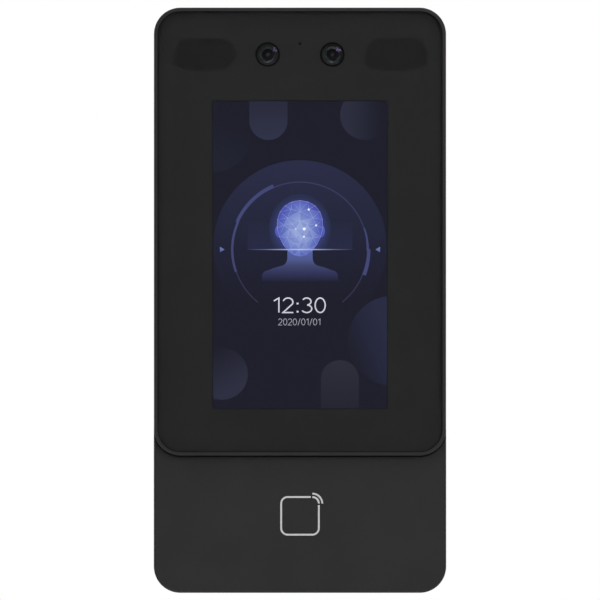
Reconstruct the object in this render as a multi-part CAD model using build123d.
"""Wall-hung face recognition and card access terminal, as an assembly of separate pieces.

Sizes are in millimetres. X runs across the terminal and Z up, and the terminal faces -Y. The wall
is the plane Y = 0. Places along Y are given as depths, which are distances from the wall, so a
point at depth d has Y = -d. The origin is the centre of the wall box screws, on the wall.
"""

import os

from build123d import *

# ---- Overall sizes ------------------------------------------------------------------------------
body_width = 90.5
body_height = 181.0
body_depth = 27.0  # from the wall to the front of the display frame
corner_radius = 8.2
moulded_wall = 2.0
wall_gap = 0.6  # from the wall to the rear cover's rim
parting_depth = 15.5  # where the rear cover meets the two front mouldings
seam_chamfer = 0.3
rear_edge_radius = 2.5
fit_gap = 0.2  # between pieces that are laid in beside each other
thread_clearance = 0.05  # on the radius, between a screw and the hole that it is driven into
screw_clearance = 0.15  # on the radius, between a screw and the hole that it passes through

# ---- Display frame, glass and what is bonded to it ----------------------------------------------
card_area_height = 42.5  # the card reader cover that shows below the display frame
frame_inset = 0.1  # the frame is this much narrower than the body on each side
frame_step = 3.2  # the frame stands this far in front of the card reader cover
frame_edge_radius = 0.6
rim_width = 1.1
glass_gap = 0.3
glass_drop = 0.15  # glass front behind the frame's front
glass_thickness = 1.8
glass_chamfer = 0.3
ink_thickness = 0.1
tape_thickness = 0.35
tape_width = 2.2
tape_inset = 0.5

# ---- Display module -----------------------------------------------------------------------------
display_side_margin = 11.65  # body side to display module
camera_band = 23.65  # frame top to display module
display_chin = 9.35  # display module to frame bottom
display_thickness = 2.9
display_fit = 0.4
active_side_border = 6.67  # module edge to lit area
active_end_border = 5.23
ink_border = 0.25  # lit area to ink
gasket_thickness = 0.2
gasket_clear = 1.0  # lit area to gasket
tray_sheet = 0.4
cell_thickness = 1.3
support_sheet = 0.8
support_overlap = 2.2  # support plate past the display module on each side
flex_thickness = 0.2
display_flex_width = 18.0
display_socket_rise = 5.0  # main board's lower edge to the display's socket
antenna_flex_width = 8.0
antenna_socket_rise = 4.0
camera_flex_width = 9.0
camera_socket_drop = 1.0  # main board's upper edge to the cameras' socket

# ---- Cameras, infrared lamps and light sensor ---------------------------------------------------
sensor_line = 14.45  # frame top to the line of the camera centres
camera_spacing = 20.0
camera_window_radius = 3.85
camera_barrel_radius = 3.75
camera_lens_radius = 1.85
camera_front_gap = 0.55  # ink to the front of the barrel
camera_length = 6.8  # camera board to the front of the barrel
camera_holder_size = 9.4
camera_holder_height = 3.0
camera_board_size = (39.0, 15.0)
small_board_thickness = 1.0
lamp_spacing = 59.2
lamp_window = (19.4, 9.9)
lamp_cup_wall = 0.7
led_size = 3.5
led_height = 1.2
led_spacing = 8.0
light_pipe_radius = 0.45
light_pipe_flange_radius = 1.0
light_pipe_rise = 3.3  # above the camera centres

# ---- Card reader --------------------------------------------------------------------------------
groove_width = 0.45  # shadow gap round the foot of the display frame
cover_edge_radius = 0.8
card_mark_size = 11.65  # to the middle of the line
card_mark_line = 0.55
card_mark_radius = 2.0
card_wave_radius = 3.05
card_mark_gap = 0.5
card_mark_rise = 2.6  # above the middle of the card area
mark_engraving = 0.2
mark_proud = 0.03
antenna_margin = 2.0
antenna_side_margin = 12.2
peg_radius = 2.2
peg_inset = 0.8  # peg's overlap with the coil's part of the board
fine_screw_radius = 0.8
coil_turns = 4
coil_track = 0.9
coil_pitch = 1.5
coil_thickness = 0.1
coil_edge = 1.6
ferrite_thickness = 0.3

# ---- Main board ---------------------------------------------------------------------------------
board_thickness = 1.6
board_side_gap = 2.2
board_rest = 0.5  # wiring bay's back to the board
standoff_radius = 2.6
standoff_inset = 5.75  # inside face of the frame to the standoff's axis
small_screw_radius = 1.0
small_head_radius = 2.0
small_head_height = 1.4
shield_size = 28.0
shield_height = 2.5
shield_sheet = 0.3
processor_size = 15.0
processor_height = 1.4
pad_thickness = 1.0
pad_inset = 2.0
sink_base = 1.5
fin_thickness = 0.9
fin_count = 8
sink_wall_gap = 0.6
battery_radius = 6.25
battery_height = 2.0

# ---- Wiring bay ---------------------------------------------------------------------------------
recess_side_clearance = 1.5
recess_floor = 4.0
bay_width = 60.0
bay_height = 52.0
bay_floor = 12.0
bay_wall = 1.8
ethernet_size = (16.0, 16.0)  # across and along the plug's way in
ethernet_height = 11.5
ethernet_x = -16.0
ethernet_plug = (11.8, 8.0)
header_pins = (10, 8, 4)
pin_pitch = 2.0
header_end = 1.9  # outermost pin to the end of the header
header_width = 5.8
header_height = 7.2
header_wall = 0.7
header_spacing = 9.6
header_left = 0.0
pin_side = 0.5
usb_size = (9.0, 3.3)
usb_height = 7.0
usb_shell = 0.35

# ---- Reset button and tamper switch -------------------------------------------------------------
reset_place = (20.0, -19.0)
reset_radius = 1.7
reset_proud = 1.2
reset_flange = 0.5
reset_travel = 0.3
reset_switch_size = 6.0
reset_switch_height = 4.3
running_clearance = 0.08
tamper_radius = 2.0
tamper_travel = 1.0
tamper_preload = 1.0  # how far the bracket holds the plunger in
tamper_flange_radius = 3.2
tamper_flange = 1.0
tamper_stem_radius = 1.2
tamper_stem_entry = 0.7  # stem's reach into the switch at rest
tamper_plate_gap = 0.1
tamper_switch_size = 6.2
tamper_switch_height = 3.0
spring_wire = 0.3
spring_radius = 1.75
spring_turns = 3.5

# ---- Wall bracket -------------------------------------------------------------------------------
bracket_sheet = 1.5
bracket_side_margin = 8.25  # body side to bracket plate
bracket_end_margin = 25.5
bracket_corner = 5.0
cable_window = (48.0, 48.0)
box_screw_spacing = 60.3
box_slot = (8.0, 2.1)  # slot length and half its width
gang_screw_spacing = 83.3
wall_hole_radius = 2.25
wall_hole_margin = (9.0, 7.0)  # plate edge to wall hole, across and up
hook_x = 24.0
hook_width = 8.0
hook_lip = 4.0
hook_clearance = 0.3  # rear cover's wall to the lip behind it
hook_tip_gap = 1.2  # lip to the pocket's floor
hook_window_height = 9.0
hook_below_top = 15.0
lift_travel = 6.0
tongue_width = 20.0
flange_reach = 11.5
flange_gap = 0.3  # body bottom to the flange's underside
flange_clearance = 0.6
tongue_overlap = 6.0  # tongue into the plate
inner_bend = 0.3
bracket_gap = 1.0  # plate top to the recess

# ---- Fixings ------------------------------------------------------------------------------------
post_radius = 3.2
post_inset = (6.5, 6.5)  # body side and end to the housing screws
housing_screw_radius = 1.25
housing_head_radius = 2.4
housing_head_height = 1.8
head_clearance = 0.3
head_seat = 5.6
housing_screw_length = 14.0
security_screw_radius = 1.5
security_head_radius = 2.8
security_head_height = 1.4
security_screw_length = 8.5
security_depth = 8.2
insert_radius = 2.3
insert_length = 5.5
boss_wall = 1.6

# ---- Sound and seals ----------------------------------------------------------------------------
speaker_gap = 1.5
speaker_depths = (5.0, 14.0)
speaker_height = 6.0
sound_gasket = 0.8
sound_slot = (1.2, 6.0)
sound_slot_count = 6
sound_slot_pitch = 2.4
microphone_radius = 2.0
microphone_height = 1.6
microphone_hole_radius = 0.6
boot_wall = 0.9
seal_width = 0.9
seal_height = 0.8
seal_inset = 0.6
label_size = (42.0, 12.0)
label_thickness = 0.1

# ---- Places worked out from the sizes above -----------------------------------------------------
top = body_height / 2
bottom = -body_height / 2
side = body_width / 2
frame_bottom = bottom + card_area_height
frame_height = top - frame_bottom
frame_middle = (top + frame_bottom) / 2
frame_width = body_width - 2 * frame_inset
glass_inset = rim_width + glass_gap
glass_front = body_depth - glass_drop
glass_back = glass_front - glass_thickness
ink_back = glass_back - ink_thickness
ledge = ink_back - tape_thickness
display_width = body_width - 2 * display_side_margin
display_height = frame_height - camera_band - display_chin
display_top = top - camera_band
display_middle = display_top - display_height / 2
display_bottom = display_top - display_height
display_front = ink_back - gasket_thickness
frame_back = display_front - display_thickness
active_width = display_width - 2 * active_side_border
active_height = display_height - 2 * active_end_border
support_back = frame_back - support_sheet
cover_front = body_depth - frame_step
split = frame_bottom + corner_radius  # where the side seam between the two front mouldings is
cavity_step = frame_bottom - groove_width - moulded_wall  # the card area's cavity ends here
sensor_z = top - sensor_line
barrel_front = ink_back - camera_front_gap
camera_board_front = barrel_front - camera_length
lamp_board_front = frame_back
pocket_floor = frame_back - fit_gap
inner_side = side - moulded_wall
board_back = bay_floor + bay_wall + board_rest
board_front = board_back + board_thickness
board_half = inner_side - board_side_gap
board_top = display_top
board_bottom = -bay_height / 2 - 4.0
standoff_x = inner_side - standoff_inset
bracket_width = body_width - 2 * bracket_side_margin
bracket_top = top - bracket_end_margin
recess_side = bracket_width / 2 + recess_side_clearance
recess_top = bracket_top + bracket_gap
recess_bottom = -bracket_top - lift_travel - bracket_gap
hook_levels = (bracket_top - hook_below_top, -bay_height / 2 - bay_wall - 16.2)
hook_pocket_width = hook_width + 3.0
hook_front = recess_floor + moulded_wall + hook_clearance + bracket_sheet
hook_pocket_floor = hook_front + hook_tip_gap
pocket_top_of_flange = bottom + flange_gap + bracket_sheet + flange_clearance
channel_width = tongue_width + 2.0
insert_bottom = pocket_top_of_flange + fit_gap
post_places = [(x * (side - post_inset[0]), z * (top - post_inset[1])) for x in (-1, 1) for z in (-1, 1)]
tamper_x = hook_x + hook_pocket_width / 2 + tamper_flange_radius + 1.0
tamper_z = bay_height / 2 + bay_wall + tamper_flange_radius + 1.5
sound_x = (channel_width / 2 + moulded_wall + side - post_inset[0] - post_radius) / 2
sound_width = 2 * (side - post_inset[0] - post_radius - sound_x - speaker_gap)
sound_depth = sum(speaker_depths) / 2


# ---- Helpers ------------------------------------------------------------------------------------
def panel(width, height, radius=0.0, x=0.0, z=0.0):
    """A rectangle drawn in X and Z, with round corners if it has a radius."""
    shape = RectangleRounded(width, height, radius) if radius > 0 else Rectangle(width, height)
    return Pos(x, z) * shape


def slab(outline, back, front):
    """The outline, drawn in X and Z, as a solid between two depths."""
    return extrude(Plane.XZ.offset(back) * outline, front - back)


def block(left, right, low, high, back, front):
    """A box between two places along each axis."""
    middle = Pos((left + right) / 2, (low + high) / 2)
    return slab(middle * Rectangle(right - left, high - low), back, front)


def rod(radius, back, front, x, z):
    """A round bar along the depth."""
    return slab(Pos(x, z) * Circle(radius), back, front)


def upright(radius, low, high, x, depth):
    """A round bar along Z."""
    return Pos(x, -depth, low) * extrude(Circle(radius), high - low)


def turned(points, x, z):
    """A turned piece about an axis along the depth. points are (radius, depth), in order."""
    outline = make_face(Polyline(*[(r, -d) for r, d in points], close=True))
    return Pos(x, 0, z) * revolve(outline, Axis.Y)


def ribbon(points, radius, thickness, x, width):
    """A flat flexible strip whose middle follows points, given as (depth, z), with bends."""
    line = FilletPolyline(*[(-d, z) for d, z in points], radius=radius)
    strip = trace(line, thickness)
    return extrude(Plane.YZ.offset(x - width / 2) * strip, width)


def together(pieces):
    """Separate solids as one node."""
    return Compound(children=[s for piece in pieces for s in piece.solids()])


def rear_outline(inset=0.0):
    return panel(body_width - 2 * inset, body_height - 2 * inset, corner_radius - inset)


def frame_outline(inset=0.0):
    width, height = frame_width - 2 * inset, frame_height - 2 * inset
    return panel(width, height, corner_radius - inset, z=frame_middle)


def outer_edges(part, depth):
    """The edges of a part that lie in one plane of equal depth and on its outside."""
    plane = [e for e in part.edges() if abs(e.center().Y + depth) < 1e-3]
    flat = [e for e in plane if e.bounding_box().size.Y < 1e-3]
    return flat


# ---- Rear cover ---------------------------------------------------------------------------------
def hook_pocket(level):
    """Outline of the space that a bracket hook needs, from its lowest to its highest place."""
    low = level - lift_travel - 0.8
    high = level + bracket_sheet + 0.1
    return low, high


def rear_cover():
    body = slab(rear_outline(), wall_gap, parting_depth)
    body = fillet(outer_edges(body, wall_gap), rear_edge_radius)
    body = chamfer(outer_edges(body, parting_depth), seam_chamfer)

    # The main cavity, and the shallower one behind the rim round the bracket's recess.
    inner = rear_outline(moulded_wall)
    body -= slab(inner, recess_floor + moulded_wall, parting_depth)
    recess_height = recess_top - recess_bottom
    recess_z = (recess_top + recess_bottom) / 2
    kept_width = 2 * (recess_side + moulded_wall)
    kept = panel(kept_width, recess_height + 2 * moulded_wall, bracket_corner, z=recess_z)
    channel = panel(channel_width + 2 * moulded_wall, recess_bottom - bottom, z=(recess_bottom + bottom) / 2)
    body -= slab(inner - kept - channel, wall_gap + moulded_wall, recess_floor + moulded_wall)

    # Walls of the wiring bay, the hook pockets, the flange pocket and the screw posts.
    half_bay, half_height = bay_width / 2, bay_height / 2
    body += block(
        -half_bay - bay_wall, half_bay + bay_wall, -half_height - bay_wall, half_height + bay_wall,
        recess_floor, bay_floor + bay_wall,
    )
    hook_half = hook_pocket_width / 2
    for x in (-hook_x, hook_x):
        for level in hook_levels:
            low, high = hook_pocket(level)
            high += hook_lip
            body += block(
                x - hook_half - boss_wall, x + hook_half + boss_wall, low - boss_wall, high + boss_wall,
                recess_floor, hook_pocket_floor + boss_wall,
            )
    channel_half = channel_width / 2
    body += block(
        -channel_half - moulded_wall, channel_half + moulded_wall, bottom + moulded_wall,
        pocket_top_of_flange + moulded_wall, recess_floor, flange_reach + moulded_wall,
    )
    boss_top = insert_bottom + insert_length + 2.4
    body += upright(insert_radius + boss_wall, pocket_top_of_flange, boss_top, 0, security_depth)
    for x, z in post_places:
        body += rod(post_radius, wall_gap + moulded_wall, parting_depth, x, z)

    # The recess for the bracket, the channel for its tongue and the pocket for its flange.
    body -= slab(
        panel(2 * recess_side, recess_height, bracket_corner - moulded_wall, z=recess_z), 0, recess_floor
    )
    body -= block(-channel_half, channel_half, bottom - 1, recess_bottom + 1, 0, recess_floor)
    body -= block(
        -channel_half, channel_half, bottom - 1, pocket_top_of_flange, 0, flange_reach + 1.0
    )
    # The bay, with holes in its floor for what stands on the board.
    body -= slab(panel(bay_width, bay_height, 2.0), recess_floor - 1, bay_floor)
    body -= slab(board_openings(), bay_floor - 1, bay_floor + bay_wall)
    for x in (-hook_x, hook_x):
        for level in hook_levels:
            low, high = hook_pocket(level)
            body -= block(x - hook_half, x + hook_half, low, high, 0, recess_floor + moulded_wall + 0.01)
            body -= block(
                x - hook_half, x + hook_half, low, high + hook_lip,
                recess_floor + moulded_wall, hook_pocket_floor,
            )
    # Holes for the screws, the insert, the tamper plunger, the sound slots and the microphone.
    for x, z in post_places:
        body -= rod(housing_screw_radius + screw_clearance, 0, parting_depth, x, z)
        body -= rod(housing_head_radius + head_clearance, 0, head_seat, x, z)
    body -= upright(insert_radius, pocket_top_of_flange, insert_bottom + insert_length, 0, security_depth)
    bore = security_screw_radius + thread_clearance
    body -= upright(bore, bottom, insert_bottom + insert_length + 1.2, 0, security_depth)
    body -= rod(tamper_radius + running_clearance, 0, recess_floor + moulded_wall, tamper_x, tamper_z)
    for i in range(sound_slot_count):
        x = sound_x + (i - (sound_slot_count - 1) / 2) * sound_slot_pitch
        slot = Pos(x, -sound_depth, bottom - 1) * extrude(SlotOverall(*sound_slot[::-1], rotation=90), 4)
        body -= slot
    body -= upright(microphone_hole_radius, bottom - 1, bottom + moulded_wall + 1, -sound_x, sound_depth)
    # The seal's groove.
    body -= slab(rear_outline(seal_inset) - rear_outline(seal_inset + seal_width),
                 parting_depth - seal_height, parting_depth)
    return body


def board_openings():
    """Outline of the holes in the bay's floor, with clearance round each connector and button."""
    gap = 0.3
    x, z = ethernet_place()
    holes = panel(ethernet_size[0] + 2 * gap, ethernet_size[1] + 2 * gap, x=x, z=z)
    for x, z, width in header_places():
        holes += panel(width + 2 * gap, header_width + 2 * gap, x=x, z=z)
    x, z = usb_place()
    holes += panel(usb_size[0] + 2 * gap, usb_size[1] + 2 * gap, 0.8, x=x, z=z)
    x, z = reset_place
    return holes + panel(reset_switch_size + 2 * gap, reset_switch_size + 2 * gap, x=x, z=z)


def rating_label():
    z = (recess_top + moulded_wall + top) / 2
    return slab(panel(*label_size, 1.0, z=z), wall_gap - label_thickness, wall_gap)


def perimeter_seal():
    ring = rear_outline(seal_inset) - rear_outline(seal_inset + seal_width)
    return slab(ring, parting_depth - seal_height, parting_depth)


# ---- Display frame and card reader cover --------------------------------------------------------
def lamp_places():
    return [(-lamp_spacing / 2, sensor_z), (lamp_spacing / 2, sensor_z)]


def camera_places():
    return [(-camera_spacing / 2, sensor_z), (camera_spacing / 2, sensor_z)]


def standoff_places():
    return [(x * standoff_x, z) for x in (-1, 1) for z in (board_bottom + 6.0, board_top - 6.0)]


def support_screw_places():
    """Beside the display, between the standoffs."""
    x = display_width / 2 + support_overlap + small_head_radius / 2
    return [(s * x, display_middle + t * display_height / 6) for s in (-1, 1) for t in (-1, 1)]


def joining_screw_places():
    """Screws that hold the card reader cover's upper edge to the display frame."""
    z = (split + frame_bottom) / 2
    return [(s * (inner_side - 12.0), z) for s in (-1, 1)]


def stadium(width, height, x, z):
    return Pos(x, z) * SlotOverall(width, height)


def display_frame():
    frame = slab(frame_outline(), frame_back, body_depth)
    frame = fillet(outer_edges(frame, body_depth), frame_edge_radius)

    # The skirt reaches back to the rear cover above the side seam.
    above = panel(body_width, top - split - fit_gap, z=(top + split + fit_gap) / 2)
    skirt = (frame_outline() & above) - frame_outline(moulded_wall)
    skirt_solid = slab(skirt, parting_depth, frame_back)
    seam = [e for e in outer_edges(skirt_solid, parting_depth) if on_outline(e)]
    skirt_solid = chamfer(seam, seam_chamfer)
    frame += skirt_solid

    # Standoffs for the main board and bosses for the housing screws.
    for x, z in standoff_places():
        frame += rod(standoff_radius, board_front, frame_back, x, z)
    for x, z in post_places:
        if z > 0:
            frame += rod(post_radius, parting_depth, frame_back, x, z)

    # The seat for the glass, and the windows behind it.
    frame -= slab(frame_outline(rim_width), ledge, body_depth)
    window = panel(display_width + 2 * display_fit, display_height + 2 * display_fit, z=display_middle)
    frame -= slab(window, frame_back, ledge)
    for x, z in camera_places():
        frame -= rod(camera_barrel_radius + display_fit, frame_back, ledge, x, z)
    for x, z in lamp_places():
        frame -= slab(stadium(lamp_window[0] + 1.0, lamp_window[1] + 1.0, x, z), frame_back, ledge)
    frame -= rod(light_pipe_flange_radius + 0.1, frame_back, ledge, 0, sensor_z + light_pipe_rise)

    # Pilot holes.
    pilot = small_screw_radius + thread_clearance
    for x, z in standoff_places():
        frame -= rod(pilot, board_front, board_front + 5.0, x, z)
    for x, z in post_places:
        if z > 0:
            end = head_seat + housing_screw_length + 0.5
            frame -= rod(housing_screw_radius + thread_clearance, parting_depth, end, x, z)
    for x, z in support_screw_places() + joining_screw_places():
        frame -= rod(pilot, frame_back, frame_back + 2.2, x, z)
    return frame


def on_outline(edge):
    """True for an edge on the outside of the body, and not on a moulding's inside face."""
    middle = edge @ 0.5
    inside = side - moulded_wall + 0.5
    return abs(middle.X) > inside or middle.Z > top - moulded_wall + 0.5 or (
        abs(middle.X) > inside - corner_radius / 2 and middle.Z > top - corner_radius / 2
    )


def card_reader_cover():
    below = panel(body_width + 2, split - bottom, z=(split + bottom) / 2)
    outline = rear_outline() & below
    cover = slab(outline, parting_depth, cover_front)
    front = [e for e in outer_edges(cover, cover_front) if (e @ 0.5).Z < split - 0.1]
    cover = fillet(front, cover_edge_radius)
    seam = [e for e in outer_edges(cover, parting_depth) if (e @ 0.5).Z < split - 0.1]
    cover = chamfer(seam, seam_chamfer)

    # The cavity is less deep under the display frame, where the cover's front is lowered.
    inner = rear_outline(moulded_wall)
    lower = panel(body_width, cavity_step - bottom, z=(cavity_step + bottom) / 2)
    cover -= slab(inner & lower, parting_depth, cover_front - moulded_wall)
    cover -= slab(inner, parting_depth, pocket_floor - moulded_wall)
    cover -= slab(frame_outline(-groove_width), pocket_floor, cover_front + 1)

    # Bosses for the housing screws and pegs for the antenna board.
    for x, z in post_places:
        if z < 0:
            cover += rod(post_radius, parting_depth, cover_front - moulded_wall, x, z)
            end = head_seat + housing_screw_length + 0.5
            cover -= rod(housing_screw_radius + thread_clearance, parting_depth, end, x, z)
    for x, z in antenna_screw_places():
        cover += rod(peg_radius, antenna_front(), cover_front - moulded_wall, x, z)
        cover -= rod(fine_screw_radius + thread_clearance, antenna_front(), cover_front - 0.8, x, z)
    for x, z in joining_screw_places():
        cover -= rod(small_screw_radius + screw_clearance, pocket_floor - moulded_wall, pocket_floor, x, z)
    cover -= slab(card_mark(), cover_front - mark_engraving, cover_front + 1)
    return cover


def card_mark():
    """Outline of the mark that shows where a card is held: a square with two waves at a corner."""
    z = (bottom + frame_bottom) / 2 + card_mark_rise
    half, line = card_mark_size / 2, card_mark_line / 2
    size, radius = card_mark_size, card_mark_radius
    square = panel(size + 2 * line, size + 2 * line, radius + line)
    square -= panel(size - 2 * line, size - 2 * line, radius - line)
    corner = half - radius
    cut = card_mark_gap
    square -= panel(radius + 1, cut, x=half, z=corner - cut / 2)
    square -= panel(cut, radius + 1, x=corner - cut / 2, z=half)
    square = remove_islands(square)
    quarter = panel(20, 20, x=corner + 10, z=corner + 10)
    wave = Pos(corner, corner) * (Circle(card_wave_radius + line) - Circle(card_wave_radius - line))
    return Pos(0, z) * (square + (wave & quarter))


def remove_islands(sketch):
    """The sketch with slivers under a hundredth of a square millimetre left out."""
    return Sketch(children=[f for f in sketch.faces() if f.area > 0.01])


def card_mark_inlay():
    return together([slab(card_mark(), cover_front - mark_engraving, cover_front + mark_proud)])


# ---- Glass, ink, tape and gasket ----------------------------------------------------------------
def cover_glass():
    glass = slab(frame_outline(glass_inset), glass_back, glass_front)
    return chamfer(outer_edges(glass, glass_front), glass_chamfer)


def glass_ink_mask():
    """Black ink on the back of the glass, open at the lit area, the cameras and the sensors."""
    ink = frame_outline(glass_inset + 0.1)
    ink -= panel(active_width + 2 * ink_border, active_height + 2 * ink_border, z=display_middle)
    for x, z in camera_places():
        ink -= Pos(x, z) * Circle(camera_window_radius)
    for x, z in lamp_places():
        ink -= stadium(*lamp_window, x, z)
    ink -= Pos(0, sensor_z + light_pipe_rise) * Circle(light_pipe_radius)
    return slab(ink, ink_back, glass_back)


def infrared_windows():
    """Ink that passes infrared light, in front of the lamps."""
    return together([slab(stadium(*lamp_window, x, z), ink_back, glass_back) for x, z in lamp_places()])


def glass_seal_tape():
    inset = glass_inset + tape_inset
    return slab(frame_outline(inset) - frame_outline(inset + tape_width), ledge, ink_back)


def display_gasket():
    ring = panel(display_width - 0.6, display_height - 0.6, z=display_middle)
    clear = 2 * gasket_clear
    ring -= panel(active_width + clear, active_height + clear, z=display_middle)
    return slab(ring, display_front, ink_back)


# ---- Display module -----------------------------------------------------------------------------
def display_panel(inset):
    return panel(display_width - 2 * inset, display_height - 2 * inset, z=display_middle)


def lcd_tray():
    tray = slab(display_panel(0), frame_back, display_front)
    return tray - slab(display_panel(tray_sheet), frame_back + tray_sheet, display_front)


def lcd_cell():
    return slab(display_panel(tray_sheet + 0.1), display_front - cell_thickness, display_front)


def lcd_backlight():
    back = frame_back + tray_sheet
    return slab(display_panel(tray_sheet + 0.1), back, display_front - cell_thickness)


def display_support_plate():
    """Sheet metal behind the display, screwed to the frame, with round notches at the standoffs."""
    ear = support_overlap + small_head_radius + 1.0
    plate = display_panel(-support_overlap / 2)
    for x, z in support_screw_places():
        plate += panel(2 * ear, 2 * ear, 1.0, x=x - ear / 2 * (1 if x > 0 else -1), z=z)
    for x, z in support_screw_places():
        plate -= Pos(x, z) * Circle(small_screw_radius + screw_clearance)
    for x, z in standoff_places():
        plate -= Pos(x, z) * Circle(standoff_radius + fit_gap)
    plate -= panel(display_flex_width + 2.0, support_overlap, z=display_bottom - support_overlap / 2)
    return slab(plate, support_back, frame_back)


def display_flex():
    """Printed flexible circuit, folded back round the foot of the display to the main board."""
    z = display_bottom - display_fit / 2
    level = board_front + 1.1
    path = [(display_front - cell_thickness, z), (level, z), (level, board_bottom + display_socket_rise)]
    return ribbon(path, 1.4, flex_thickness, 0, display_flex_width)


# ---- Cameras and lamps --------------------------------------------------------------------------
def camera_barrel(x, z):
    """Threaded barrel with a stepped black cone in front of the lens."""
    back = camera_board_front + camera_holder_height
    front = barrel_front
    seat = camera_lens_radius + 0.05
    return turned(
        [
            (seat - 0.6, back), (camera_barrel_radius - 0.4, back), (camera_barrel_radius - 0.4, front - 1.6),
            (camera_barrel_radius, front - 1.6), (camera_barrel_radius, front - 0.15),
            (camera_barrel_radius - 0.15, front), (camera_barrel_radius - 0.55, front),
            (seat + 0.75, front - 0.75), (seat + 0.5, front - 0.75), (seat + 0.5, front - 1.05),
            (seat, front - 1.05), (seat, front - 2.4), (seat - 0.6, front - 2.4),
        ],
        x, z,
    )


def camera_lens(x, z):
    """Front lens element, with a domed face."""
    front = barrel_front - 0.95
    lens = rod(camera_lens_radius, barrel_front - 2.4, front, x, z)
    dome_radius = 3.5
    dome = Pos(x, dome_radius - front, z) * Sphere(dome_radius)
    return lens & dome


def camera_holder(x, z):
    half = camera_holder_size / 2
    holder = block(
        x - half, x + half, z - half, z + half, camera_board_front, camera_board_front + camera_holder_height
    )
    inner = camera_holder_size / 2 - 1.2
    holder -= block(
        x - inner, x + inner, z - inner, z + inner, camera_board_front,
        camera_board_front + camera_holder_height - 0.8,
    )
    hole = camera_lens_radius - 0.55
    return holder - rod(hole, camera_board_front, camera_board_front + camera_holder_height, x, z)


def image_sensor(x, z):
    half = 2.6
    return block(x - half, x + half, z - half, z + half, camera_board_front, camera_board_front + 1.0)


def camera_board_plate():
    board = panel(*camera_board_size, 1.0, z=sensor_z)
    for x, z in camera_screw_places():
        board -= Pos(x, z) * Circle(small_screw_radius + screw_clearance)
    return slab(board, camera_board_front - small_board_thickness, camera_board_front)


def camera_screw_places():
    x = camera_board_size[0] / 2 - 2.2
    return [(-x, sensor_z - 5.0), (x, sensor_z - 5.0)]


def infrared_boards():
    size = (lamp_window[0] + 2.4, lamp_window[1] + 2.4)
    back = lamp_board_front - small_board_thickness
    boards = []
    for x, z in lamp_places():
        outline = stadium(*size, x, z)
        for post_x, post_z in post_places:
            outline -= Pos(post_x, post_z) * Circle(post_radius + fit_gap)
        boards.append(slab(outline, back, lamp_board_front))
    return together(boards)


def infrared_leds():
    leds = []
    for x, z in lamp_places():
        for s in (-led_spacing / 2, led_spacing / 2):
            half = led_size / 2
            top_of_led = lamp_board_front + led_height
            base = block(x + s - half, x + s + half, z - half, z + half, lamp_board_front, top_of_led)
            lens = Pos(x + s, -top_of_led, z) * Sphere(1.3)
            leds.append(base + (lens - block(-50, 50, z - 5, z + 5, 0, top_of_led)))
    return together(leds)


def light_cups():
    """Shells round the lamps, which keep their light off the cameras."""
    cups = []
    for x, z in lamp_places():
        outer = stadium(lamp_window[0] + 0.6, lamp_window[1] + 0.6, x, z)
        inner_width = lamp_window[0] + 0.6 - 2 * lamp_cup_wall
        inner = stadium(inner_width, lamp_window[1] + 0.6 - 2 * lamp_cup_wall, x, z)
        cups.append(slab(outer - inner, lamp_board_front, ledge))
    return together(cups)


def light_pipe():
    """Clear rod that leads daylight from its pinhole to the light sensor."""
    z = sensor_z + light_pipe_rise
    pipe = rod(light_pipe_radius * 2, camera_board_front + 1.0, ink_back, 0, z)
    return pipe + rod(light_pipe_flange_radius, frame_back + 0.3, frame_back + 1.1, 0, z)


def camera_flex():
    """Flexible circuit from the back of the camera board down to the main board's upper edge."""
    high = sensor_z - camera_board_size[1] / 2 + 2.5
    level = camera_board_front - small_board_thickness - flex_thickness / 2
    target = board_front + 0.8
    turn = (high + board_top) / 2
    return stepped_flex(level, high, target, board_top - camera_socket_drop, turn, 0, camera_flex_width)


def stepped_flex(start, start_z, end, end_z, turn_z, x, width):
    """A flexible circuit that runs along Z at one depth and then, past turn_z, at another."""
    half = flex_thickness / 2
    if abs(start - end) < 3 * half:
        return block(x - width / 2, x + width / 2, min(start_z, end_z), max(start_z, end_z),
                     start - half, start + half)
    return ribbon([(start, start_z), (start, turn_z), (end, turn_z), (end, end_z)],
                  min(1.0, 0.45 * abs(start - end)), flex_thickness, x, width)


# ---- Card reader electronics --------------------------------------------------------------------
def antenna_front():
    return cover_front - moulded_wall - 0.6


def antenna_size():
    height = cavity_step - (bottom + moulded_wall) - 2 * antenna_margin
    return body_width - 2 * antenna_side_margin, height


def antenna_middle():
    return (cavity_step + bottom + moulded_wall) / 2


def antenna_screw_places():
    x = antenna_size()[0] / 2 + peg_radius - peg_inset
    return [(s * x, antenna_middle()) for s in (-1, 1)]


def antenna_board():
    width, height = antenna_size()
    board = panel(width, height, 1.5, z=antenna_middle())
    for x, z in antenna_screw_places():
        board += panel(6.0, 6.0, 1.0, x=x, z=z)
    for x, z in antenna_screw_places():
        board -= Pos(x, z) * Circle(fine_screw_radius + screw_clearance)
    return slab(board, antenna_front() - small_board_thickness, antenna_front())


def antenna_coil():
    """Copper turns on the front of the antenna board."""
    width, height = antenna_size()
    turns = []
    for i in range(coil_turns):
        inset = coil_edge + i * coil_pitch
        outer = panel(width - 2 * inset, height - 2 * inset, 2.5, z=antenna_middle())
        inset += coil_track
        outer -= panel(width - 2 * inset, height - 2 * inset, 1.6, z=antenna_middle())
        turns.append(slab(outer, antenna_front(), antenna_front() + coil_thickness))
    return together(turns)


def ferrite_back():
    return antenna_front() - small_board_thickness - ferrite_thickness


def ferrite_sheet():
    width, height = antenna_size()
    sheet = panel(width - 6.0, height - 6.0, 1.0, z=antenna_middle())
    return slab(sheet, ferrite_back(), antenna_front() - small_board_thickness)


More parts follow.
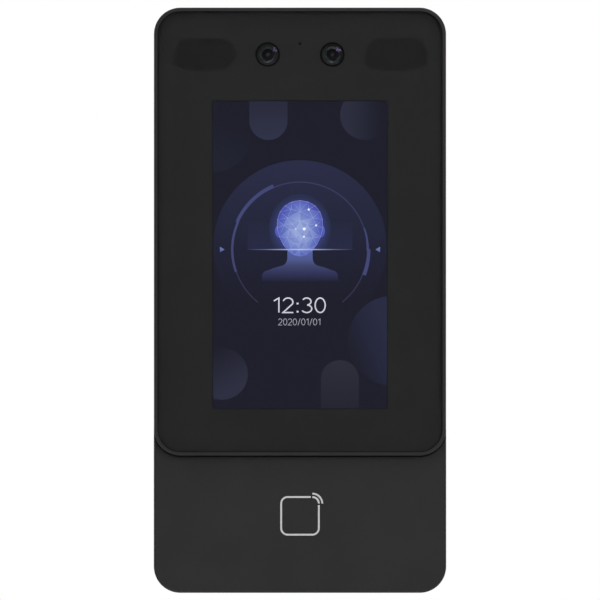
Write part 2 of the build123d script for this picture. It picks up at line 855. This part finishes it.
def antenna_flex():
    """Flexible circuit from the back of the antenna board up to the main board."""
    start = antenna_middle() + antenna_size()[1] / 2 - 2.9
    level = antenna_front() - small_board_thickness - flex_thickness / 2
    x = -display_flex_width / 2 - 3.5 - 1.0 - antenna_flex_width / 2
    turn = cavity_step - 0.8
    end_z = board_bottom + antenna_socket_rise
    return stepped_flex(level, start, board_front + 0.8, end_z, turn, x, antenna_flex_width)


def circuit_chips():
    """Card reader chip on the antenna board's back, memory chips and the light sensor."""
    back = ferrite_back()
    z = antenna_middle()
    chips = [block(-4, 4, z - 4, z + 4, back - 1.0, back)]
    for x in (-26.0, -12.0, 12.0):
        middle = display_middle + 8.0
        chips.append(block(x - 5, x + 5, middle - 6, middle + 6, board_front, board_front + 1.1))
    for x in (-25.0, 25.0):
        low = board_bottom + 14.0
        chips.append(block(x - 3.5, x + 3.5, low, low + 7, board_front, board_front + 1.3))
    z = sensor_z + light_pipe_rise
    chips.append(block(-1.0, 1.0, z - 1, z + 1, camera_board_front, camera_board_front + 0.8))
    return together(chips)


# ---- Main board and what stands on it -----------------------------------------------------------
def mainboard():
    board = panel(2 * board_half, board_top - board_bottom, 2.0, z=(board_top + board_bottom) / 2)
    for x, z in standoff_places():
        board -= Pos(x, z) * Circle(small_screw_radius + screw_clearance)
    return slab(board, board_back, board_front)


def sink_places():
    """Middle height, width and height of the heat sink, between the hook pockets."""
    low = bay_height / 2 + bay_wall + 2.0
    high = board_top - 3.0
    width = 2 * (hook_x - hook_pocket_width / 2 - boss_wall - 1.4)
    return (low + high) / 2, width, high - low


def shield_width():
    """The shield is square and stays inside the heat sink's height."""
    return min(shield_size, sink_places()[2] - 2 * pad_inset)


def shield_back():
    return board_back - shield_height


def processor_shield():
    z = sink_places()[0]
    size = shield_width()
    shield = slab(panel(size, size, 0.8, z=z), shield_back(), board_back)
    inner = size - 2 * shield_sheet
    return shield - slab(panel(inner, inner, 0.5, z=z), shield_back() + shield_sheet, board_back)


def processor():
    z = sink_places()[0]
    return slab(panel(processor_size, processor_size, z=z), board_back - processor_height, board_back)


def thermal_pad():
    z = sink_places()[0]
    size = shield_width() - 2 * pad_inset
    return slab(panel(size, size, z=z), shield_back() - pad_thickness, shield_back())


def heat_sink():
    z, width, height = sink_places()
    front = shield_back() - pad_thickness
    back = recess_floor + moulded_wall + sink_wall_gap
    sink = slab(panel(width, height, 1.0, z=z), front - sink_base, front)
    for i in range(fin_count):
        x = (i / (fin_count - 1) - 0.5) * (width - fin_thickness)
        sink += block(
            x - fin_thickness / 2, x + fin_thickness / 2, z - height / 2 + 1.0, z + height / 2 - 1.0,
            back, front - sink_base + 0.01,
        )
    return sink


def battery_place():
    return board_half - battery_radius - 8.0, board_top - battery_radius - 18.0


def battery_holder():
    """Open cup on the front of the board, notched so that the cell can be lifted out."""
    x, z = battery_place()
    front = board_front + battery_height + 1.0
    cup = rod(battery_radius + 1.0, board_front, front, x, z)
    cup -= rod(battery_radius + 0.05, board_front + 0.8, front, x, z)
    return cup - block(x - 3, x + 3, z - battery_radius - 2, z, board_front + 0.8, front)


def clock_battery():
    x, z = battery_place()
    back = board_front + 0.8
    return turned(
        [(0, back), (battery_radius, back), (battery_radius, back + battery_height - 0.3),
         (battery_radius - 0.6, back + battery_height), (0, back + battery_height)],
        x, z,
    )


def flex_connectors():
    """Low sockets on the main board that the three flexible circuits plug into."""
    half = display_flex_width / 2 + 1.5
    low = board_bottom + display_socket_rise
    display = block(-half, half, low, low + 3.5, board_front, board_front + 2.2)
    low = board_bottom + antenna_socket_rise
    left = -half - 2.0 - antenna_flex_width - 2.0
    antenna = block(left, -half - 2.0, low, low + 3.0, board_front, board_front + 1.6)
    half = camera_flex_width / 2 + 1.0
    high = board_top - camera_socket_drop
    camera = block(-half, half, high - 3.0, high, board_front, board_front + 1.6)
    return together([display, antenna, camera])


def ethernet_place():
    z = bay_height / 2 - 2.0 - ethernet_size[1] / 2
    return ethernet_x, z


def ethernet_box():
    """Left, right, low and high sides of the network socket, and its outermost depth."""
    x, z = ethernet_place()
    half_width, half_length = ethernet_size[0] / 2, ethernet_size[1] / 2
    return x - half_width, x + half_width, z - half_length, z + half_length, board_back - ethernet_height


def ethernet_socket():
    left, right, low, high, back = ethernet_box()
    x = (left + right) / 2
    shell = block(left, right, low, high, back, board_back)
    half = ethernet_plug[0] / 2
    mouth = back + 1.4
    shell -= block(x - half, x + half, low, high - 2.0, mouth, mouth + ethernet_plug[1])
    shell -= block(x - 3.0, x + 3.0, low, high - 6.0, mouth - 0.7, mouth)
    return fillet([e for e in shell.edges() if abs(e.center().Y + back) < 1e-3], 0.3)


def ethernet_contacts():
    """Eight sprung wires in the socket's mouth, slanting from its roof."""
    left, right, low, high, back = ethernet_box()
    x = (left + right) / 2
    roof = back + 1.4 + ethernet_plug[1]
    wires = []
    for i in range(8):
        at = x + (i - 3.5) * 1.02
        outline = make_face(Polyline(
            (-roof, low + 1.0), (-(roof - 0.4), low + 1.0),
            (-(roof - 2.6), high - 4.0), (-(roof - 2.2), high - 4.0 + 0.25), close=True,
        ))
        wires.append(extrude(Plane.YZ.offset(at - 0.17) * outline, 0.34))
    return together(wires)


def header_places():
    """Middle and length of each wiring header, one under another."""
    places = []
    for i, pins in enumerate(header_pins):
        width = (pins - 1) * pin_pitch + 2 * header_end
        z = bay_height / 2 - 2.5 - header_width / 2 - i * header_spacing
        places.append((header_left + width / 2, z, width))
    return places


def wiring_sockets():
    sockets = []
    for x, z, width in header_places():
        back = board_back - header_height
        body = slab(panel(width, header_width, 0.4, x=x, z=z), back, board_back)
        inner_width, inner = width - 2 * header_wall, header_width - 2 * header_wall
        body -= slab(panel(inner_width, inner, x=x, z=z), back, board_back - 1.4)
        body -= slab(panel(1.2, header_wall * 2, x=x - width / 4, z=z - header_width / 2), back, back + 3.0)
        body -= slab(panel(1.2, header_wall * 2, x=x + width / 4, z=z - header_width / 2), back, back + 3.0)
        sockets.append(body)
    return together(sockets)


def wiring_pins():
    pins = []
    for (x, z, _), count in zip(header_places(), header_pins):
        for i in range(count):
            at = x + (i - (count - 1) / 2) * pin_pitch
            half = pin_side / 2
            pins.append(block(at - half, at + half, z - half, z + half, board_back - 5.6, board_back - 1.4))
    return together(pins)


def usb_place():
    return 8.0, reset_place[1]


def usb_socket():
    x, z = usb_place()
    back = board_back - usb_height
    width, height = usb_size
    shell = slab(panel(width, height, height / 2 - 0.05, x=x, z=z), back, board_back)
    width -= 2 * usb_shell
    height -= 2 * usb_shell
    floor = board_back - 1.0
    inner = slab(panel(width, height, height / 2 - 0.05, x=x, z=z), back, floor)
    tongue = slab(panel(width - 1.7, 0.7, x=x, z=z), back + 0.8, floor)
    return shell - inner + tongue


# ---- Reset button and tamper switch -------------------------------------------------------------
def reset_chamber():
    """Depths between which the button's flange moves inside the switch."""
    back = board_back - reset_switch_height + 0.6
    return back, back + reset_flange + reset_travel + 0.3


def reset_switch():
    """Push switch with a chamber for the button's flange, closed by the contact disc's seat."""
    x, z = reset_place
    half = reset_switch_size / 2
    body = block(x - half, x + half, z - half, z + half, board_back - reset_switch_height, board_back)
    back, front = reset_chamber()
    body -= rod(reset_radius + running_clearance, 0, front, x, z)
    return body - rod(reset_radius + reset_flange + 0.2, back, front, x, z)


def reset_button():
    """Round button kept in the switch by a flange."""
    x, z = reset_place
    back = reset_chamber()[0] + 0.05
    outside = board_back - reset_switch_height - reset_proud
    wide = reset_radius + reset_flange
    return turned(
        [(0, outside), (reset_radius - 0.3, outside), (reset_radius, outside + 0.3), (reset_radius, back),
         (wide, back), (wide, back + reset_flange), (0, back + reset_flange)],
        x, z,
    )


def tamper_tip():
    return bracket_sheet + tamper_plate_gap


def tamper_flange_back():
    return recess_floor + moulded_wall + tamper_preload


def tamper_plunger():
    """Round plunger that feels the bracket, with a flange that keeps it in the cover."""
    x, z = tamper_x, tamper_z
    back = tamper_flange_back()
    front = back + tamper_flange
    end = board_back - tamper_switch_height + tamper_stem_entry
    return turned(
        [(0, tamper_tip()), (tamper_radius - 0.5, tamper_tip()), (tamper_radius, tamper_tip() + 0.5),
         (tamper_radius, back), (tamper_flange_radius, back), (tamper_flange_radius, front),
         (tamper_stem_radius, front), (tamper_stem_radius, end), (0, end)],
        x, z,
    )


def tamper_switch():
    x, z = tamper_x, tamper_z
    half = tamper_switch_size / 2
    back = board_back - tamper_switch_height
    body = block(x - half, x + half, z - half, z + half, back, board_back)
    depth = back + tamper_stem_entry + tamper_travel + 0.4
    return body - rod(tamper_stem_radius + running_clearance, back, depth, x, z)


def tamper_spring():
    back = tamper_flange_back() + tamper_flange
    front = board_back - tamper_switch_height
    height = front - back - spring_wire - 0.1
    path = Helix(height / spring_turns, height, spring_radius)
    section = Plane(path @ 0, z_dir=path % 0) * Circle(spring_wire / 2)
    coil = sweep(section, path, is_frenet=True)
    turn = Rotation(90, 0, 0) * coil
    return Pos(tamper_x, -back - spring_wire / 2 - 0.05, tamper_z) * turn


# ---- Wall bracket and security screw ------------------------------------------------------------
def wall_hole_places():
    x = bracket_width / 2 - wall_hole_margin[0]
    z = bracket_top - wall_hole_margin[1]
    return [(s * x, t * z) for s in (-1, 1) for t in (-1, 1)]


def wall_bracket():
    plate = panel(bracket_width, 2 * bracket_top, bracket_corner)
    plate -= panel(*cable_window, 4.0)
    for x in (-box_screw_spacing / 2, box_screw_spacing / 2):
        plate -= Pos(x, 0) * SlotOverall(box_slot[0], 2 * box_slot[1])
    for z in (-gang_screw_spacing / 2, gang_screw_spacing / 2):
        plate -= Pos(0, z) * Circle(wall_hole_radius)
    for x, z in wall_hole_places():
        plate -= Pos(x, z) * Circle(wall_hole_radius)
    for x in (-hook_x, hook_x):
        for level in hook_levels:
            low = level - hook_window_height
            plate -= panel(hook_width + 1.0, hook_window_height, 0.5, x=x, z=low + hook_window_height / 2)
    flange_low = bottom + flange_gap
    low = flange_low
    high = -bracket_top + tongue_overlap
    tongue = panel(tongue_width, high - low, z=(low + high) / 2)
    bracket = slab(plate + tongue, 0, bracket_sheet)

    half = tongue_width / 2
    bracket += block(-half, half, flange_low, flange_low + bracket_sheet, 0, flange_reach)
    outer = [e for e in bracket.edges().filter_by(Axis.X) if near(e, 0, flange_low)]
    bracket = fillet(outer, bracket_sheet + inner_bend)
    corner = flange_low + bracket_sheet
    inner = [e for e in bracket.edges().filter_by(Axis.X) if near(e, bracket_sheet, corner)]
    bracket = fillet(inner, inner_bend)

    for x in (-hook_x, hook_x):
        for level in hook_levels:
            bracket += bracket_hook(x, level)

    sink = Pos(0, -security_depth, flange_low) * Cone(
        security_head_radius + 0.1, security_screw_radius + screw_clearance, security_head_height,
        align=(Align.CENTER, Align.CENTER, Align.MIN),
    )
    bracket -= sink
    clear = security_screw_radius + screw_clearance
    return bracket - upright(clear, flange_low, flange_low + bracket_sheet, 0, security_depth)


def near(edge, depth, z):
    middle = edge @ 0.5
    return abs(middle.Y + depth) < 0.05 and abs(middle.Z - z) < 0.05


def bracket_hook(x, level):
    """Arm bent out of the plate, with a lip that stands up behind the rear cover's wall."""
    front = hook_front
    arm = block(x - hook_width / 2, x + hook_width / 2, level, level + bracket_sheet, 0.01, front)
    lip_top = level + bracket_sheet + hook_lip
    lip = block(x - hook_width / 2, x + hook_width / 2, level, lip_top, front - bracket_sheet, front)
    hook = arm + lip
    corners = [e for e in hook.edges().filter_by(Axis.X) if near(e, front, level)]
    hook = fillet(corners, bracket_sheet)
    tips = [e for e in hook.edges().filter_by(Axis.Y) if abs((e @ 0.5).Z - lip_top) < 0.05]
    return chamfer(tips, 1.2)


def security_screw():
    """Countersunk screw with a six-sided socket, driven up through the bracket's flange."""
    low = bottom + flange_gap
    head = Pos(0, -security_depth, low) * Cone(
        security_head_radius, security_screw_radius, security_head_height,
        align=(Align.CENTER, Align.CENTER, Align.MIN),
    )
    screw = head + upright(security_screw_radius, low + security_head_height, low + security_screw_length,
                           0, security_depth)
    tip = [e for e in screw.edges() if abs(e.center().Z - low - security_screw_length) < 1e-3]
    screw = chamfer(tip, 0.4)
    socket = Pos(0, -security_depth, low) * extrude(RegularPolygon(1.15, 6), 1.1)
    return screw - socket


def threaded_insert():
    insert = upright(insert_radius, insert_bottom, insert_bottom + insert_length, 0, security_depth)
    bore = security_screw_radius + thread_clearance
    insert -= upright(bore, insert_bottom, insert_bottom + insert_length, 0, security_depth)
    waist = upright(insert_radius + 1, insert_bottom + 2.2, insert_bottom + 3.0, 0, security_depth)
    waist -= upright(insert_radius - 0.25, insert_bottom + 2.0, insert_bottom + 3.2, 0, security_depth)
    return insert - waist


# ---- Screws -------------------------------------------------------------------------------------
def pan_screw(x, z, seat, length, radius, head_radius, head_height):
    """Screw driven towards the front. seat is the depth that its head bears on."""
    screw = rod(head_radius, seat - head_height, seat, x, z)
    screw = fillet(outer_edges(screw, seat - head_height), head_height * 0.45)
    screw += rod(radius, seat, seat + length, x, z)
    arm = head_radius * 1.1
    cross = panel(arm, arm / 4, x=x, z=z) + panel(arm / 4, arm, x=x, z=z)
    return screw - slab(cross, seat - head_height, seat - head_height * 0.35)


def housing_screws():
    return together([
        pan_screw(x, z, head_seat, housing_screw_length, housing_screw_radius, housing_head_radius,
                  housing_head_height)
        for x, z in post_places
    ])


def internal_screws():
    """Screws of the main board, the display's support, the cover's upper edge and the antenna."""
    size = (small_screw_radius, small_head_radius, small_head_height)
    screws = [pan_screw(x, z, board_back, 6.0, *size) for x, z in standoff_places()]
    screws += [pan_screw(x, z, support_back, support_sheet + 2.0, *size) for x, z in support_screw_places()]
    under = pocket_floor - moulded_wall
    screws += [pan_screw(x, z, under, moulded_wall + 2.0, *size) for x, z in joining_screw_places()]
    back = antenna_front() - small_board_thickness
    screws += [pan_screw(x, z, back, 2.2, fine_screw_radius, 1.5, 0.9) for x, z in antenna_screw_places()]
    return together(screws)


# ---- Sound --------------------------------------------------------------------------------------
def speaker():
    """Speaker in its own box, with its face to the slots in the body's underside."""
    low = bottom + moulded_wall + sound_gasket
    left, right = sound_x - sound_width / 2, sound_x + sound_width / 2
    back, front = speaker_depths
    box = block(left, right, low, low + speaker_height, back, front)
    box = fillet(box.edges().filter_by(Axis.Z), 1.2)
    dish = Pos(sound_x, -sound_depth, low) * extrude(SlotOverall(sound_width - 4, front - back - 2.6), 0.8)
    dome = Pos(sound_x, -sound_depth, low + 0.8) * extrude(SlotOverall(sound_width - 9, 3.2), -0.5)
    return box - dish + dome


def speaker_gasket():
    low = bottom + moulded_wall
    back, front = speaker_depths
    ring = RectangleRounded(sound_width, front - back, 1.2)
    ring -= RectangleRounded(sound_width - 2.4, front - back - 2.4, 0.6)
    return Pos(sound_x, -sound_depth, low) * extrude(ring, sound_gasket)


def microphone_boot():
    low = bottom + moulded_wall
    outer = microphone_radius + boot_wall
    boot = upright(outer, low, low + microphone_height + 1.6, -sound_x, sound_depth)
    boot -= upright(microphone_radius, low + 0.8, low + microphone_height + 1.6, -sound_x, sound_depth)
    return boot - upright(microphone_hole_radius, low, low + 1, -sound_x, sound_depth)


def microphone():
    low = bottom + moulded_wall + 0.8
    return upright(microphone_radius, low, low + microphone_height, -sound_x, sound_depth)


# ---- Everything, by node name -------------------------------------------------------------------
def left_and_right(name, make, places):
    return {f"{name}_{hand}": make(*place) for hand, place in zip(("left", "right"), places)}


def all_pieces():
    pieces = {
        make.__name__: make()
        for make in (
            cover_glass, glass_ink_mask, infrared_windows, glass_seal_tape, display_frame, display_gasket,
            lcd_cell, lcd_backlight, lcd_tray, display_support_plate, display_flex, infrared_boards,
            infrared_leds, light_cups, light_pipe, camera_flex, card_reader_cover, card_mark_inlay,
            antenna_board, antenna_coil, ferrite_sheet, antenna_flex, circuit_chips, mainboard,
            processor, processor_shield, thermal_pad, heat_sink, battery_holder, clock_battery,
            flex_connectors, ethernet_socket, ethernet_contacts, wiring_sockets, wiring_pins,
            usb_socket, reset_switch, reset_button, tamper_switch, tamper_plunger, tamper_spring,
            speaker, speaker_gasket, microphone, microphone_boot, rear_cover, perimeter_seal,
            rating_label, housing_screws, internal_screws, threaded_insert, wall_bracket, security_screw,
        )
    }
    pieces["camera_board"] = camera_board_plate()
    pieces["camera_holders"] = together([camera_holder(x, z) for x, z in camera_places()])
    pieces["image_sensors"] = together([image_sensor(x, z) for x, z in camera_places()])
    pieces |= left_and_right("camera_barrel", camera_barrel, camera_places())
    pieces |= left_and_right("camera_lens", camera_lens, camera_places())
    return pieces


os.makedirs("parts", exist_ok=True)
for name, piece in all_pieces().items():
    export_step(piece, f"parts/{name}.step")
print(f"{len(os.listdir('parts'))} nodes written")
